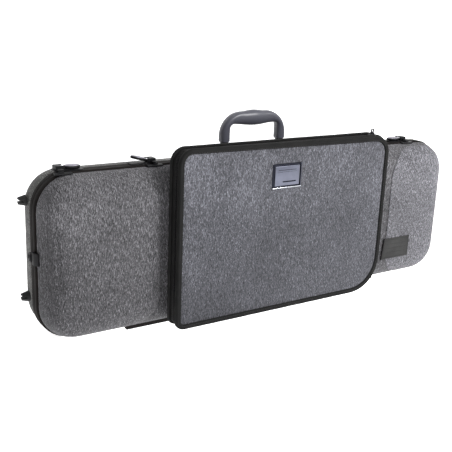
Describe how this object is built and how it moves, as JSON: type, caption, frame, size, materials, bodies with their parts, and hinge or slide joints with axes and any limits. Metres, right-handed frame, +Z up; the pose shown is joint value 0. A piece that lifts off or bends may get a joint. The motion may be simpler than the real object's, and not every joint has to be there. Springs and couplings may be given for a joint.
{
  "type": "violin case",
  "caption": "Oblong violin case with a padded fabric shell, music pocket on the lid, folding handle, turn latches, spine hinges and strap rings.",
  "frame": {"origin": "centre of the bounding box in plan, on the ground under the hinges and spine feet that the closed case stands on", "axes": "+X along the case towards the scroll end, -Y out of the lid and its music pocket, +Z up towards the handle"},
  "size_m": [0.8044, 0.156, 0.322],
  "materials": {
    "case_tweed": "matte",
    "pocket_tweed": "matte",
    "binding_cloth": "matte",
    "rim_black": "satin",
    "plush": "matte",
    "moulded_plastic": "satin",
    "rubber": "matte",
    "dark_metal": "satin",
    "nickel": "polished",
    "badge_metal": "satin",
    "label_cloth": "matte"
  },
  "bodies": {
    "base": {"base_shell": "case_tweed", "base_rim": "rim_black", "base_lining": "plush", "neck_rest": "plush", "neck_strap": "binding_cloth", "hinge_base_leaf_1": "rim_black", "hinge_base_leaf_2": "rim_black", "hinge_pin_1": "nickel", "hinge_pin_2": "nickel", "spine_foot_1": "rubber", "spine_foot_2": "rubber", "end_foot_1": "rubber", "end_foot_2": "rubber", "lid_stay_left": "binding_cloth", "lid_stay_right": "binding_cloth", "latch_plate_1": "dark_metal", "latch_plate_2": "dark_metal", "latch_plate_3": "dark_metal", "latch_plate_4": "dark_metal", "handle_mount_1": "moulded_plastic", "handle_mount_2": "moulded_plastic", "handle_pin_1": "nickel", "handle_pin_2": "nickel"},
    "lid": {"lid_shell": "case_tweed", "lid_rim": "rim_black", "lid_lining": "plush", "bow_tip_holder": "plush", "hinge_lid_leaf_1": "rim_black", "hinge_lid_leaf_2": "rim_black", "keeper_1": "dark_metal", "keeper_2": "dark_metal", "keeper_3": "dark_metal", "keeper_4": "dark_metal", "woven_label": "label_cloth", "pocket_tray": "binding_cloth", "pocket_back_binding": "binding_cloth", "ring_bracket_left": "dark_metal", "ring_bracket_right": "dark_metal"},
    "pocket": {"pocket_cover": "pocket_tweed", "pocket_front_binding": "binding_cloth", "badge_plate": "badge_metal", "badge_inlay": "badge_metal"},
    "zip_slider": {"zip_slider": "nickel"},
    "zip_pull": {"zip_pull": "nickel"},
    "handle": {"handle": "moulded_plastic"},
    "ring_left": {"strap_ring_left": "dark_metal"},
    "ring_right": {"strap_ring_right": "dark_metal"},
    "bow_spinner_1": {"bow_spinner_1": "moulded_plastic"},
    "bow_spinner_2": {"bow_spinner_2": "moulded_plastic"},
    "accessory_lid": {"accessory_lid": "plush"},
    "latch_1": {"latch_rotor_1": "dark_metal"},
    "wing_1": {"latch_wing_1": "nickel"},
    "latch_2": {"latch_rotor_2": "dark_metal"},
    "wing_2": {"latch_wing_2": "nickel"},
    "latch_3": {"latch_rotor_3": "dark_metal"},
    "wing_3": {"latch_wing_3": "nickel"},
    "latch_4": {"latch_rotor_4": "dark_metal"},
    "wing_4": {"latch_wing_4": "nickel"}
  },
  "joints": [
    {"name": "lid_hinge", "type": "hinge", "parent": "base", "child": "lid", "pos_m": [0.0013, 0, 0.0029], "axis": [1, 0, 0], "range_deg": [0, 100]},
    {"name": "pocket_opening", "type": "hinge", "parent": "lid", "child": "pocket", "pos_m": [0.0013, -0.062, 0.0148], "axis": [1, 0, 0], "range_deg": [0, 75]},
    {"name": "zip_slide", "type": "slide", "parent": "lid", "child": "zip_slider", "axis": [1, 0, 0], "range_m": [-0.34, 0]},
    {"name": "zip_pull_swing", "type": "hinge", "parent": "zip_slider", "child": "zip_pull", "pos_m": [0.1773, -0.062, 0.288], "axis": [0, 1, 0], "range_deg": [-60, 60]},
    {"name": "handle_fold", "type": "hinge", "parent": "base", "child": "handle", "pos_m": [0.0003, 0.037, 0.263], "axis": [1, 0, 0], "range_deg": [-80, 80]},
    {"name": "ring_left_swing", "type": "hinge", "parent": "lid", "child": "ring_left", "pos_m": [-0.397, -0.0012, 0.1355], "axis": [0, 0, 1], "range_deg": [0, 150]},
    {"name": "ring_right_swing", "type": "hinge", "parent": "lid", "child": "ring_right", "pos_m": [0.3996, -0.0012, 0.1355], "axis": [0, 0, -1], "range_deg": [0, 150]},
    {"name": "bow_spinner_1_turn", "type": "hinge", "parent": "lid", "child": "bow_spinner_1", "pos_m": [-0.2987, -0.034, 0.081], "axis": [0, 1, 0], "range_deg": [0, 90]},
    {"name": "bow_spinner_2_turn", "type": "hinge", "parent": "lid", "child": "bow_spinner_2", "pos_m": [-0.2987, -0.034, 0.181], "axis": [0, 1, 0], "range_deg": [0, 90]},
    {"name": "accessory_flap", "type": "hinge", "parent": "base", "child": "accessory_lid", "pos_m": [0.3688, 0.0028, 0.131], "axis": [0, 0, 1], "range_deg": [0, 10]},
    {"name": "latch_1_turn", "type": "hinge", "parent": "base", "child": "latch_1", "pos_m": [-0.3513, 0.004, 0.258], "axis": [0, 0, 1], "range_deg": [0, 90]},
    {"name": "wing_1_fold", "type": "hinge", "parent": "latch_1", "child": "wing_1", "pos_m": [-0.3473, 0.004, 0.2609], "axis": [0, -1, 0], "range_deg": [0, 90]},
    {"name": "latch_2_turn", "type": "hinge", "parent": "base", "child": "latch_2", "pos_m": [-0.2087, 0.004, 0.258], "axis": [0, 0, -1], "range_deg": [0, 90]},
    {"name": "wing_2_fold", "type": "hinge", "parent": "latch_2", "child": "wing_2", "pos_m": [-0.2127, 0.004, 0.2609], "axis": [0, 1, 0], "range_deg": [-14, 76]},
    {"name": "latch_3_turn", "type": "hinge", "parent": "base", "child": "latch_3", "pos_m": [0.1983, 0.004, 0.258], "axis": [0, 0, 1], "range_deg": [0, 90]},
    {"name": "wing_3_fold", "type": "hinge", "parent": "latch_3", "child": "wing_3", "pos_m": [0.2023, 0.004, 0.2609], "axis": [0, -1, 0], "range_deg": [0, 90]},
    {"name": "latch_4_turn", "type": "hinge", "parent": "base", "child": "latch_4", "pos_m": [0.3123, 0.004, 0.258], "axis": [0, 0, -1], "range_deg": [0, 90]},
    {"name": "wing_4_fold", "type": "hinge", "parent": "latch_4", "child": "wing_4", "pos_m": [0.3083, 0.004, 0.2609], "axis": [0, 1, 0], "range_deg": [0, 90]}
  ]
}
